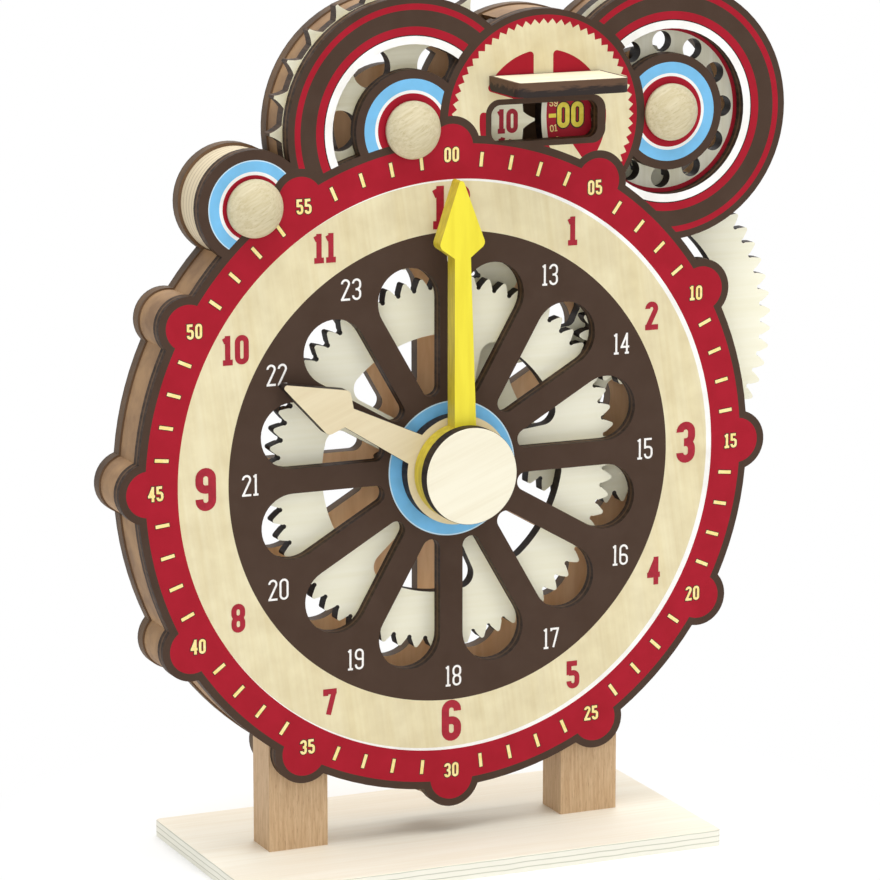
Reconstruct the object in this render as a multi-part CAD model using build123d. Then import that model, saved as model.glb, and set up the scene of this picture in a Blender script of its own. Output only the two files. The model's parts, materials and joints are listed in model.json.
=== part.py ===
from build123d import *
import os
from math import acos, atan2, cos, degrees, hypot, pi, radians, sin, tan

# A wooden teaching clock: a lobed dial plate and a matching back plate on two posts, with a real
# wheel train between them that turns the hands, a minute disc and a star-shaped hour disc.
# Millimetres. X is to the viewer's right, Z is up, the dial faces -Y.
# The origin is the centre of the base's underside. Bearings are degrees clockwise from twelve.

# Body layers, front to back
plate_thick = 5.0
wheel_thick = 5.0
wheel_split = 2.0
washer_thick = 1.5
face_gap = 0.1

# Base and posts
base_width = 180.0
base_depth = 94.0
base_thick = 6.0
base_corner_r = 2.0
base_edge_r = 0.6
under_dial_gap = 10.1
post_width = 22.0
post_spacing = 112.6
post_rise = 37.0
screw_r = 2.0
screw_length = 30.0
screw_head_r = 4.0
screw_head_depth = 2.4
drive_slot_width = 1.0
drive_slot_depth = 1.1

# Dial plate outline and its pierced spokes
dial_r = 116.0
lobe_count = 12
lobe_r = 10.8
lobe_inset = 3.9
spoke_count = 12
spoke_width = 8.6
piercing_outer_r = 73.3
piercing_inner_r = 26.3

# Top cluster: two ring eyes, the centre disc between them and the left knob's ear
ring_r = 45.5
ring_window_r = 29.2
island_r = 20.5
centre_disc_r = 38.3
ear_r = 19.8
ear_overhang = 4.3
ear_to_star_gap = 13.2
display_width = 40.6
display_height = 13.0
display_corner_r = 3.6
display_shift = 1.0
display_drop = 0.85

# Rim walls between the plates
rim_inset = 0.6
rim_wall = 6.0
ring_wall = 4.6
spacer_inset = 1.1
assembly_gap = 0.4
sector_steps = 6

# Wheel train
tooth_module = 2.02
pressure_angle = 30.0
backlash = 0.35
addendum_share = 0.78
dedendum_share = 1.33
tip_round_share = 0.16
valley_round_share = 0.5
hour_wheel_teeth = 64
idler_pinion_teeth = 16
minute_pinion_teeth = 20
idler_wheel_teeth = 60
disc_pinion_teeth = 20
idler_bearing = 60.0
disc_bearing = 9.7
hour_ring_inner_r = 46.1
hour_hub_r = 20.0
idler_ring_inner_r = 44.0
idler_hub_r = 17.0
hour_spoke_count = 5
idler_spoke_count = 6
hour_spoke_width = 12.0
idler_spoke_width = 10.0
wheel_spoke_fillet = 5.0
spoke_corner_share = 0.45
hour_spoke_bearing = 11.5
idler_spoke_bearing = 25.0

# Digital discs
minute_disc_r = 46.6
disc_hole_count = 12
disc_hole_r = 3.7
disc_hole_circle_r = 24.0
star_points = 24
star_valley_r = 45.2
star_point_height = 4.3
star_tip_width = 0.9
star_root_width = 6.0
star_hollow_share = 0.4
star_hole_count = 6
star_hole_r = 7.0
star_hole_circle_r = 24.0
star_to_wheel_gap = 4.27
disc_to_star_gap = 2.5
finger_width = 6.0
finger_clear = 0.5
finger_root = 6.0
finger_round_share = 0.33
finger_bearing = 290.0

# Arbors, axles and knobs
arbor_r = 3.0
sleeve_r = 5.0
axle_r = 4.0
running_clear = 0.05
blind_depth = 3.0
washer_r = 8.0
collar_r = 8.0
collar_thick = 5.0
collar_gap = 0.4
edge_round = 0.5
knob_r = 10.0
knob_skirt = 1.4
knob_dome = 5.0
knob_gap = 0.8
knob_socket = 3.0

# Hands and hub cap
hour_hand_thick = 5.0
minute_hand_thick = 6.0
hour_hand_gap = 1.0
minute_hand_gap = 0.5
hour_hub_ring_r = 19.3
minute_hub_ring_r = 16.9
cap_r = 17.1
cap_thick = 5.0
minute_hand_length = 104.1
minute_head_length = 24.3
minute_head_width = 17.5
minute_neck_width = 5.8
minute_root_width = 8.4
hour_hand_length = 75.3
hour_head_length = 24.8
hour_head_width = 17.2
hour_neck_width = 6.2
hour_root_width = 12.2
head_barb_share = 0.18
arm_overlap_share = 0.25
head_corner_r = 2.2
hand_tip_r = 1.0
minute_hand_bearing = 359.0
hour_hand_bearing = 298.0

# Display flap and its hinge
flap_width = 42.5
flap_length = 24.0
flap_thick = 5.0
flap_corner_r = 4.0
flap_rise = 11.8
flap_gap = 0.3
hinge_pin_r = 0.8
lug_width = 4.0
lug_spacing = 26.0
pocket_clear = 0.4
pocket_roof = 0.4
pin_margin = 2.0
heel_land = 0.1
lug_r = flap_thick / 2 - pocket_clear - pocket_roof

# Layer depths from the dial face
plate_gap = 2 * washer_thick + 2 * wheel_thick + wheel_split
body_depth = 2 * plate_thick + plate_gap
dial_face_y = -body_depth / 2
front_wheel_depth = plate_thick + washer_thick
back_wheel_depth = plate_thick + plate_gap - washer_thick - wheel_thick
back_plate_depth = plate_thick + plate_gap
collar_depth = body_depth + collar_gap
hour_hand_depth = -hour_hand_gap - hour_hand_thick
minute_hand_depth = hour_hand_depth - minute_hand_gap - minute_hand_thick
cap_depth = minute_hand_depth - cap_thick
knob_back_depth = -knob_gap
axle_front_depth = knob_back_depth - knob_socket

# Radii that follow from other sizes
lobe_centre_r = dial_r - lobe_inset
ear_centre_r = dial_r + ear_overhang
star_tip_r = star_valley_r + star_point_height
pitch_per_tooth = tooth_module / 2
addendum = addendum_share * tooth_module
dedendum = dedendum_share * tooth_module
hour_wheel_tip_r = hour_wheel_teeth * pitch_per_tooth + addendum
idler_wheel_tip_r = idler_wheel_teeth * pitch_per_tooth + addendum
hour_centres = (hour_wheel_teeth + idler_pinion_teeth) * pitch_per_tooth
disc_centres = (idler_wheel_teeth + disc_pinion_teeth) * pitch_per_tooth
idler_tooth_bearing = idler_bearing + 180 + 180 / idler_wheel_teeth


def polar(r, bearing):
    return r * sin(radians(bearing)), r * cos(radians(bearing))


def moved(point, r, bearing):
    dx, dz = polar(r, bearing)
    return point[0] + dx, point[1] + dz


def corner_angle(side_a, side_b, across):
    # The angle between two sides of a triangle, from its three lengths
    return degrees(acos((side_a * side_a + side_b * side_b - across * across) / (2 * side_a * side_b)))


# Axis places in the dial's plane, measured from the dial's centre. The star clears the hour wheel
# and the minute disc, and the ear clears the star.
dial_axis = (0.0, 0.0)
idler_axis = polar(hour_centres, idler_bearing)
disc_axis = moved(idler_axis, disc_centres, disc_bearing)
star_centre_r = hour_wheel_tip_r + star_to_wheel_gap + star_tip_r
disc_to_star = minute_disc_r + disc_to_star_gap + star_tip_r
star_turn = corner_angle(hypot(*disc_axis), star_centre_r, disc_to_star)
star_bearing = degrees(atan2(*disc_axis)) - star_turn
star_axis = polar(star_centre_r, star_bearing)
centre_axis = ((disc_axis[0] + star_axis[0]) / 2, disc_axis[1])
ear_bearing = star_bearing - corner_angle(star_centre_r, ear_centre_r, star_tip_r + ear_to_star_gap)
ear_axis = polar(ear_centre_r, ear_bearing)
display_centre = (centre_axis[0] + display_shift, centre_axis[1] - display_drop)
dial_height = base_thick + under_dial_gap + lobe_centre_r + lobe_r


def slab(outline, depth, thick):
    # A flat piece cut to an outline in the dial's plane, at a depth behind the dial face
    place = Pos(0, dial_face_y + depth + thick, dial_height) * Rot(90, 0, 0)
    return place * extrude(outline, amount=thick)


def disc(axis, r):
    return Pos(*axis) * Circle(r)


def rod(axis, r, depth, length):
    return slab(disc(axis, r), depth, length)


def ring(axis, r, bore, depth, length):
    return slab(disc(axis, r) - disc(axis, bore), depth, length)


def soften_rims(piece, r):
    return fillet(piece.edges().filter_by(GeomType.CIRCLE).group_by(SortBy.RADIUS)[-1], r)


def union(shapes):
    whole = shapes[0]
    for shape in shapes[1:]:
        whole = whole + shape
    return whole


# Plates


def lobed_disc(inset):
    lobes = [disc(polar(lobe_centre_r, i * 360 / lobe_count), lobe_r - inset) for i in range(lobe_count)]
    return union([Circle(dial_r - inset)] + lobes)


def plate_outline():
    cluster = [
        disc(star_axis, ring_r),
        disc(disc_axis, ring_r),
        disc(centre_axis, centre_disc_r),
        disc(ear_axis, ear_r),
    ]
    return union([lobed_disc(0)] + cluster)


def piercing():
    # The gap between two spokes: straight sides, a round outer end and a small round inner end
    half = 180 / spoke_count
    slope = sin(radians(half))
    outer_c = (piercing_outer_r + spoke_width / 2) / (1 + slope)
    inner_c = (piercing_inner_r - spoke_width / 2) / (1 - slope)
    corners = []
    for centre, r in ((inner_c, piercing_inner_r), (outer_c, piercing_outer_r)):
        end_r = abs(r - centre)
        corners.append((end_r * cos(radians(half)), centre - end_r * slope))
    (inner_x, inner_z), (outer_x, outer_z) = corners
    side_a = Line((inner_x, inner_z), (outer_x, outer_z))
    outer_end = ThreePointArc((outer_x, outer_z), (0, piercing_outer_r), (-outer_x, outer_z))
    side_b = Line((-outer_x, outer_z), (-inner_x, inner_z))
    inner_end = ThreePointArc((-inner_x, inner_z), (0, piercing_inner_r), (inner_x, inner_z))
    return make_face([side_a, outer_end, side_b, inner_end])


def piercings():
    gap = piercing()
    step = 360 / spoke_count
    return [Rot(0, 0, -(i + 1 / 2) * step) * gap for i in range(spoke_count)]


def ring_window(axis):
    window = disc(axis, ring_window_r) - disc(axis, island_r)
    return window - lobed_disc(0) - disc(centre_axis, centre_disc_r)


def display_window():
    return Pos(*display_centre) * RectangleRounded(display_width, display_height, display_corner_r)


def pierced_plate():
    outline = plate_outline()
    for gap in piercings():
        outline = outline - gap
    for axis in (star_axis, disc_axis):
        outline = outline - ring_window(axis)
    return outline


def turning_holes(depth):
    places = [(disc_axis, axle_r), (star_axis, axle_r), (ear_axis, axle_r)]
    return union([rod(axis, r + running_clear, depth, plate_thick) for axis, r in places])


def front_plate():
    plate = slab(pierced_plate() - display_window(), 0, plate_thick)
    plate = plate - turning_holes(0) - rod(dial_axis, sleeve_r + running_clear, 0, plate_thick)
    return plate - rod(idler_axis, axle_r, plate_thick - blind_depth, blind_depth)


def back_plate():
    plate = slab(pierced_plate(), back_plate_depth, plate_thick)
    plate = plate - turning_holes(back_plate_depth)
    plate = plate - rod(dial_axis, arbor_r + running_clear, back_plate_depth, plate_thick)
    return plate - rod(idler_axis, axle_r, back_plate_depth, blind_depth)


# Base and posts


def base_plate():
    board = extrude(RectangleRounded(base_width, base_depth, base_corner_r), amount=base_thick)
    board = fillet(board.faces().sort_by(Axis.Z)[-1].edges(), base_edge_r)
    for side in (-1, 1):
        board = board - Pos(side * post_spacing / 2, 0, 0) * screw_blank()
    return board


def screw_blank():
    head = Pos(0, 0, screw_head_depth / 2) * Cone(screw_head_r, screw_r, screw_head_depth)
    shank = Pos(0, 0, screw_length / 2) * Cylinder(screw_r, screw_length)
    return head + shank


def post_screws():
    slot = Box(2 * screw_head_r, drive_slot_width, 2 * drive_slot_depth)
    screw = screw_blank() - slot
    return Compound(children=[Pos(side * post_spacing / 2, 0, 0) * screw for side in (-1, 1)])


def post(side):
    top = dial_height - lobe_centre_r + post_rise
    height = top - base_thick
    centre = Pos(side * post_spacing / 2, 0, base_thick + height / 2)
    block = centre * Box(post_width, plate_gap, height)
    return block - Pos(side * post_spacing / 2, 0, 0) * screw_blank()


def post_footprint(side):
    # The post's front outline, seen in the dial's plane
    tall = 2 * dial_height
    return Pos(side * post_spacing / 2, -tall / 2) * Rectangle(post_width, tall)


# Rim walls


def sector(start, end):
    reach = 2 * (lobe_centre_r + lobe_r)
    steps = sector_steps
    rim = [polar(reach, start + (end - start) * i / steps) for i in range(steps + 1)]
    return make_face(Polyline([dial_axis] + rim, close=True))


def rim_band():
    return lobed_disc(rim_inset) - Circle(dial_r - rim_inset - rim_wall)


def clear_of_posts(outline):
    return outline - post_footprint(-1) - post_footprint(1)


def idler_clearance():
    return disc(idler_axis, idler_wheel_tip_r + 2 * assembly_gap)


def post_bearing(side):
    return 180 - side * degrees(atan2(post_spacing / 2, lobe_centre_r))


def left_rim():
    band = rim_band() & sector(post_bearing(-1), 360 + ear_bearing)
    outline = clear_of_posts(band) - disc(ear_axis, ear_r - spacer_inset + assembly_gap)
    return slab(outline, plate_thick, plate_gap)


def bottom_rim():
    outline = clear_of_posts(rim_band() & sector(post_bearing(1), post_bearing(-1)))
    return slab(outline, plate_thick, plate_gap)


def right_rim():
    # The wall stops where the idler wheel comes out through the side
    inner = dial_r - rim_inset - rim_wall
    reach = idler_wheel_tip_r + 2 * assembly_gap
    start = idler_bearing + corner_angle(inner, hour_centres, reach) + degrees(assembly_gap / inner)
    outline = clear_of_posts(rim_band() & sector(start, post_bearing(1)))
    return slab(outline, plate_thick, plate_gap)


def ring_band(axis):
    return disc(axis, ring_r - rim_inset) - disc(axis, ring_r - rim_inset - ring_wall)


def back_layer(outline):
    depth = front_wheel_depth + wheel_thick + assembly_gap
    return slab(outline, depth, back_plate_depth - depth)


def star_rim():
    outline = ring_band(star_axis) - lobed_disc(0) - disc(centre_axis, centre_disc_r)
    return back_layer(outline - disc(ear_axis, ear_r))


def disc_rim():
    outline = ring_band(disc_axis) - lobed_disc(0) - disc(centre_axis, centre_disc_r)
    return back_layer(outline - idler_clearance())


def centre_rim():
    # The wall over the centre disc stops short of both turning discs
    outer = centre_disc_r - rim_inset
    across = 2 * centre_disc_r
    upper = Pos(centre_axis[0], centre_axis[1] + centre_disc_r) * Rectangle(across, across)
    outline = (disc(centre_axis, outer) - disc(centre_axis, outer - ring_wall)) & upper
    outline = outline - disc(star_axis, star_tip_r + 2 * assembly_gap)
    outline = outline - disc(disc_axis, finger_tip_r() + 2 * assembly_gap)
    return slab(outline, plate_thick, plate_gap)


def ear_spacer():
    outline = disc(ear_axis, ear_r - spacer_inset) - disc(star_axis, star_tip_r + 2 * assembly_gap)
    outline = outline - disc(ear_axis, axle_r + running_clear)
    return slab(outline, plate_thick, plate_gap)


# Toothed wheels


def involute(angle):
    return tan(angle) - angle


def tooth_half_angle(teeth, r):
    pitch_r = teeth * pitch_per_tooth
    base_r = pitch_r * cos(radians(pressure_angle))
    at_pitch = (pi * tooth_module / 2 - backlash) / (2 * pitch_r)
    angle = acos(min(1, base_r / r))
    return degrees(at_pitch + involute(radians(pressure_angle)) - involute(angle))


def toothed_outline(teeth, bearing):
    # Involute teeth with rounded tips and valleys, one tooth centred on the bearing
    pitch_r = teeth * pitch_per_tooth
    root_r = pitch_r - dedendum
    tip_r = pitch_r + addendum
    flank_low = root_r + valley_round_share * tooth_module
    flank_high = tip_r - tip_round_share * tooth_module
    flank_mid = (flank_low + flank_high) / 2
    flank = [(r, tooth_half_angle(teeth, r)) for r in (flank_low, flank_mid, flank_high)]
    step = 360 / teeth
    edges = []
    for i in range(teeth):
        centre = bearing + i * step
        rise = [polar(r, centre - half) for r, half in flank]
        fall = [polar(r, centre + half) for r, half in reversed(flank)]
        following = polar(flank_low, centre + step - flank[0][1])
        edges.append(ThreePointArc(*rise))
        edges.append(ThreePointArc(rise[2], polar(tip_r, centre), fall[0]))
        edges.append(ThreePointArc(*fall))
        edges.append(ThreePointArc(fall[2], polar(root_r, centre + step / 2), following))
    return make_face(edges)


def spoke_gaps(outer_r, inner_r, count, bearing, width):
    # The windows between the spokes of a wheel, with rounded corners
    gaps = Circle(outer_r) - Circle(inner_r)
    for i in range(count):
        spoke = Pos(0, outer_r / 2) * Rectangle(width, outer_r)
        gaps = gaps - Rot(0, 0, -bearing - i * 360 / count) * spoke
    narrow_end = 2 * pi * inner_r / count - width
    return fillet(gaps.vertices(), min(wheel_spoke_fillet, spoke_corner_share * narrow_end))


def hour_wheel():
    # A tooth points at the idler pinion, whose valley faces it
    outline = toothed_outline(hour_wheel_teeth, idler_bearing) - Circle(sleeve_r)
    gaps = spoke_gaps(hour_ring_inner_r, hour_hub_r, hour_spoke_count, hour_spoke_bearing, hour_spoke_width)
    outline = outline - gaps
    return slab(outline, front_wheel_depth, wheel_thick)


def idler_pinion():
    back = idler_bearing + 180
    outline = toothed_outline(idler_pinion_teeth, back + 180 / idler_pinion_teeth)
    outline = outline - Circle(axle_r + running_clear)
    return slab(Pos(*idler_axis) * outline, front_wheel_depth, wheel_thick)


def idler_wheel():
    outline = toothed_outline(idler_wheel_teeth, idler_tooth_bearing) - Circle(axle_r + running_clear)
    gaps = spoke_gaps(idler_ring_inner_r, idler_hub_r, idler_spoke_count, idler_spoke_bearing, idler_spoke_width)
    outline = outline - gaps
    return slab(Pos(*idler_axis) * outline, back_wheel_depth, wheel_thick)


def idler_spacer():
    depth = front_wheel_depth + wheel_thick
    return ring(idler_axis, washer_r, axle_r + running_clear, depth, wheel_split)


def minute_pinion():
    outline = toothed_outline(minute_pinion_teeth, idler_bearing)
    return slab(outline - Circle(arbor_r), back_wheel_depth, wheel_thick)


def disc_pinion():
    # The idler tooth nearest the line of centres sets how far this pinion is turned in mesh
    step = 360 / idler_wheel_teeth
    lead = (idler_tooth_bearing - disc_bearing) % step
    turn = -lead * idler_wheel_teeth / disc_pinion_teeth
    bearing = disc_bearing + 180 + 180 / disc_pinion_teeth + turn
    outline = toothed_outline(disc_pinion_teeth, bearing) - Circle(axle_r)
    return slab(Pos(*disc_axis) * outline, back_wheel_depth, wheel_thick)


# Digital discs


def minute_disc():
    outline = Circle(minute_disc_r) - Circle(axle_r) - finger_outline()
    for i in range(disc_hole_count):
        outline = outline - disc(polar(disc_hole_circle_r, i * 360 / disc_hole_count), disc_hole_r)
    return slab(Pos(*disc_axis) * outline, front_wheel_depth, wheel_thick)


def finger_tip_r():
    return minute_disc_r + disc_to_star_gap - finger_clear


def finger_outline():
    inner = minute_disc_r - finger_root
    length = finger_tip_r() - inner
    bar = Pos(0, inner + length / 2) * Rectangle(finger_width, length)
    bar = fillet(bar.vertices().sort_by(Axis.Y)[-2:], finger_round_share * finger_width)
    return Rot(0, 0, -finger_bearing) * bar


def step_finger():
    # A peg let into the minute disc's edge, that comes past the star once a turn
    return slab(Pos(*disc_axis) * finger_outline(), front_wheel_depth, wheel_thick)


def star_outline():
    # Points with hollow flanks, one of them aimed at the display
    step = 360 / star_points
    tip_half = degrees(star_tip_width / 2 / star_tip_r)
    root_half = degrees(star_root_width / 2 / star_valley_r)
    mid_r = (star_tip_r + star_valley_r) / 2
    mid_half = (tip_half + root_half) * star_hollow_share
    edges = []
    for i in range(star_points):
        centre = 90 + i * step
        foot_a = polar(star_valley_r, centre - root_half)
        foot_b = polar(star_valley_r, centre + root_half)
        tip_a = polar(star_tip_r, centre - tip_half)
        tip_b = polar(star_tip_r, centre + tip_half)
        edges.append(ThreePointArc(foot_a, polar(mid_r, centre - mid_half), tip_a))
        edges.append(Line(tip_a, tip_b))
        edges.append(ThreePointArc(tip_b, polar(mid_r, centre + mid_half), foot_b))
        following = polar(star_valley_r, centre + step - root_half)
        edges.append(ThreePointArc(foot_b, polar(star_valley_r, centre + step / 2), following))
    return make_face(edges)


def hour_disc():
    outline = star_outline() - Circle(axle_r)
    for i in range(star_hole_count):
        bearing = (i + 1 / 2) * 360 / star_hole_count
        outline = outline - disc(polar(star_hole_circle_r, bearing), star_hole_r)
    return slab(Pos(*star_axis) * outline, front_wheel_depth, wheel_thick)


# Arbors, axles, washers and knobs


def minute_arbor():
    return rod(dial_axis, arbor_r, minute_hand_depth, collar_depth + collar_thick - minute_hand_depth)


def arbor_spacer():
    depth = front_wheel_depth + wheel_thick + face_gap
    return ring(dial_axis, washer_r, arbor_r, depth, wheel_split - face_gap)


def hour_sleeve():
    length = front_wheel_depth + wheel_thick - hour_hand_depth
    return ring(dial_axis, sleeve_r, arbor_r + running_clear, hour_hand_depth, length)


def idler_axle():
    depth = plate_thick - blind_depth
    return rod(idler_axis, axle_r, depth, plate_gap + 2 * blind_depth)


def knob_axle(axis):
    return rod(axis, axle_r, axle_front_depth, collar_depth + collar_thick - axle_front_depth)


def collar(axis, bore):
    return soften_rims(ring(axis, collar_r, bore, collar_depth, collar_thick), edge_round)


def knob(axis):
    # A low turned button: a short skirt under a ball-shaped dome, with a socket for the axle
    skirt = knob_back_depth - knob_skirt
    ball_r = (knob_r * knob_r + knob_dome * knob_dome) / (2 * knob_dome)
    ball = Pos(axis[0], dial_face_y + skirt - knob_dome + ball_r, axis[1] + dial_height) * Sphere(ball_r)
    blank = rod(axis, knob_r, skirt - 2 * knob_dome, knob_skirt + 2 * knob_dome) & ball
    return blank - rod(axis, axle_r, axle_front_depth, knob_socket)


def front_washer(axis, bore):
    return ring(axis, washer_r, bore, plate_thick, washer_thick - face_gap)


def back_washer(axis, bore):
    depth = back_wheel_depth + wheel_thick + face_gap
    return ring(axis, washer_r, bore, depth, washer_thick - face_gap)


def washers():
    fits = [
        front_washer(dial_axis, sleeve_r + running_clear),
        front_washer(idler_axis, axle_r),
        front_washer(disc_axis, axle_r + running_clear),
        front_washer(star_axis, axle_r + running_clear),
        back_washer(dial_axis, arbor_r + running_clear),
        back_washer(idler_axis, axle_r),
        back_washer(disc_axis, axle_r + running_clear),
        back_washer(star_axis, axle_r + running_clear),
    ]
    return Compound(children=fits)


def disc_spacer():
    depth = front_wheel_depth + wheel_thick
    return ring(disc_axis, washer_r, axle_r, depth, wheel_split)


def star_spacer():
    depth = front_wheel_depth + wheel_thick
    return ring(star_axis, washer_r, axle_r, depth, back_wheel_depth + wheel_thick - depth)


# Hands and hub cap


def hand_outline(length, head_length, head_width, neck_width, root_width, hub_r):
    # A tapering arm on a hub ring, ending in a barbed arrow head
    shoulder = length - head_length
    neck = shoulder - head_barb_share * head_length
    arm_end = neck + arm_overlap_share * head_length
    root = hub_r / 2
    arm = Polyline(
        (-root_width / 2, root),
        (root_width / 2, root),
        (neck_width / 2, arm_end),
        (-neck_width / 2, arm_end),
        close=True,
    )
    head = Polyline(
        (0, length),
        (head_width / 2, shoulder),
        (neck_width / 2, neck),
        (-neck_width / 2, neck),
        (-head_width / 2, shoulder),
        close=True,
    )
    barbed = make_face(head)
    corners = barbed.vertices().sort_by(Axis.Y)
    barbed = fillet(corners[2:4], head_corner_r)
    barbed = fillet(barbed.vertices().sort_by(Axis.Y)[-1], hand_tip_r)
    return make_face(arm) + barbed + Circle(hub_r)


def minute_hand():
    outline = hand_outline(
        minute_hand_length,
        minute_head_length,
        minute_head_width,
        minute_neck_width,
        minute_root_width,
        minute_hub_ring_r,
    )
    outline = Rot(0, 0, -minute_hand_bearing) * (outline - Circle(arbor_r))
    return slab(outline, minute_hand_depth, minute_hand_thick)


def hour_hand():
    outline = hand_outline(
        hour_hand_length,
        hour_head_length,
        hour_head_width,
        hour_neck_width,
        hour_root_width,
        hour_hub_ring_r,
    )
    outline = Rot(0, 0, -hour_hand_bearing) * (outline - Circle(sleeve_r))
    return slab(outline, hour_hand_depth, hour_hand_thick)


def hub_cap():
    return soften_rims(rod(dial_axis, cap_r, cap_depth, cap_thick), edge_round)


# Display flap


def hinge_place():
    height = dial_height + display_centre[1] + flap_rise + flap_thick / 2
    return dial_face_y - flap_gap - flap_thick / 2, height


def hinge_rod(length, r, x):
    y, z = hinge_place()
    return Pos(x, y, z) * Rot(0, 90, 0) * Cylinder(r, length)


def lug_places():
    centre = display_centre[0]
    return [centre - lug_spacing / 2, centre + lug_spacing / 2]


def flap():
    y, z = hinge_place()
    centre = display_centre[0]
    back = dial_face_y - flap_gap
    board = Pos(centre, back - flap_length / 2, z) * Box(flap_width, flap_length, flap_thick)
    board = fillet(board.edges().filter_by(Axis.Z).group_by(Axis.Y)[0], flap_corner_r)
    heel = board.edges().filter_by(Axis.X).group_by(Axis.Z)[0].sort_by(Axis.Y)[-1]
    board = fillet(heel, flap_thick / 2 - heel_land)
    reach = lug_r + pocket_clear
    deep = y - reach
    tall = flap_thick / 2 + reach
    for x in lug_places():
        pocket = Box(lug_width + 2 * pocket_clear, back - deep, tall)
        board = board - Pos(x, (back + deep) / 2, z + reach - tall / 2) * pocket
    return board - hinge_rod(pin_length(), hinge_pin_r, centre)


def pin_length():
    return flap_width - 2 * pin_margin


def flap_hinge_pin():
    return hinge_rod(pin_length(), hinge_pin_r, display_centre[0])


def flap_lugs():
    y, z = hinge_place()
    lugs = []
    for x in lug_places():
        tongue = Pos(x, (y + dial_face_y) / 2, z) * Box(lug_width, dial_face_y - y, 2 * lug_r)
        lug = tongue + hinge_rod(lug_width, lug_r, x)
        lugs.append(lug - hinge_rod(2 * lug_width, hinge_pin_r + running_clear, x))
    return Compound(children=lugs)


nodes = {
    "base_plate": base_plate(),
    "left_post": post(-1),
    "right_post": post(1),
    "post_screws": post_screws(),
    "front_plate": front_plate(),
    "back_plate": back_plate(),
    "left_rim": left_rim(),
    "bottom_rim": bottom_rim(),
    "right_rim": right_rim(),
    "star_rim": star_rim(),
    "centre_rim": centre_rim(),
    "disc_rim": disc_rim(),
    "ear_spacer": ear_spacer(),
    "washers": washers(),
    "idler_axle": idler_axle(),
    "flap_lugs": flap_lugs(),
    "minute_arbor": minute_arbor(),
    "arbor_spacer": arbor_spacer(),
    "minute_pinion": minute_pinion(),
    "minute_hand": minute_hand(),
    "hub_cap": hub_cap(),
    "arbor_collar": collar(dial_axis, arbor_r),
    "hour_sleeve": hour_sleeve(),
    "hour_wheel": hour_wheel(),
    "hour_hand": hour_hand(),
    "idler_wheel": idler_wheel(),
    "idler_pinion": idler_pinion(),
    "idler_spacer": idler_spacer(),
    "minute_disc": minute_disc(),
    "step_finger": step_finger(),
    "disc_pinion": disc_pinion(),
    "disc_spacer": disc_spacer(),
    "disc_axle": knob_axle(disc_axis),
    "disc_knob": knob(disc_axis),
    "disc_collar": collar(disc_axis, axle_r),
    "hour_disc": hour_disc(),
    "star_spacer": star_spacer(),
    "star_axle": knob_axle(star_axis),
    "star_knob": knob(star_axis),
    "star_collar": collar(star_axis, axle_r),
    "ear_axle": knob_axle(ear_axis),
    "ear_knob": knob(ear_axis),
    "ear_collar": collar(ear_axis, axle_r),
    "display_flap": flap(),
    "flap_hinge_pin": flap_hinge_pin(),
}

os.makedirs("parts", exist_ok=True)
for name, piece in nodes.items():
    export_step(piece, f"parts/{name}.step")

hinge_y, hinge_z = hinge_place()
axes = {"dial": dial_axis, "idler": idler_axis, "disc": disc_axis, "star": star_axis, "ear": ear_axis}
for name, axis in axes.items():
    print(f"{name} axis x {axis[0]:.4f} z {axis[1] + dial_height:.4f}")
print(f"flap hinge y {hinge_y:.4f} z {hinge_z:.4f}")
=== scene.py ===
import bpy
import bmesh
import json
import math
from mathutils import Matrix, Vector


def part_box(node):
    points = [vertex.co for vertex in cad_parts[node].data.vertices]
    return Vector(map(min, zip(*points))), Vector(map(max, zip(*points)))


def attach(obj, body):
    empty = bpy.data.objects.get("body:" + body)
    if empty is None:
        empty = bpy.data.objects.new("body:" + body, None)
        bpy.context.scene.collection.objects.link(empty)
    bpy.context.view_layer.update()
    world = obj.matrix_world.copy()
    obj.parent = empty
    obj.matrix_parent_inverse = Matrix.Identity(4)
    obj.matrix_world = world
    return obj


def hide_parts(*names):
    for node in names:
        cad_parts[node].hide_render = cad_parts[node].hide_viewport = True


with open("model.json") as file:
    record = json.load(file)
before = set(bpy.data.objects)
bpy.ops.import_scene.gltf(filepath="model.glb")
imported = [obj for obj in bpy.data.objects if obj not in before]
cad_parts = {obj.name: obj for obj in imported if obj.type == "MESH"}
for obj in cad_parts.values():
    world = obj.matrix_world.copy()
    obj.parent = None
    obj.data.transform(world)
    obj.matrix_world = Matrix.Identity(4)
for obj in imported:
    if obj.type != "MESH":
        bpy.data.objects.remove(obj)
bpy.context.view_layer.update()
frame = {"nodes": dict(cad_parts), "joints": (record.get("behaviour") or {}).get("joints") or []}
nodes = frame["nodes"]
mm = 0.001
print("frame loaded:", len(nodes), "nodes")

# places come from the frame: axes from the joints, faces from the nodes' boxes
axisOf = {joint["name"]: Vector(joint["pos_m"]) for joint in frame["joints"]}
dialAxis = axisOf["minute_hand_turn"]
discAxis = axisOf["minute_disc_turn"]
starAxis = axisOf["hour_disc_turn"]
earAxis = axisOf["ear_knob_turn"]
centreAxis = Vector(((discAxis.x + starAxis.x) / 2, 0, discAxis.z))
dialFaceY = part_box("front_plate")[0].y
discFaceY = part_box("minute_disc")[0].y
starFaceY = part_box("hour_disc")[0].y


def tint(hexText):
    # sRGB hex to the linear colour that the nodes want
    channels = [int(hexText[i:i + 2], 16) / 255 for i in (1, 3, 5)]
    linear = [c / 12.92 if c <= 0.04045 else ((c + 0.055) / 1.055) ** 2.4 for c in channels]
    return (*linear, 1.0)


# Building blocks of materials

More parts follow.
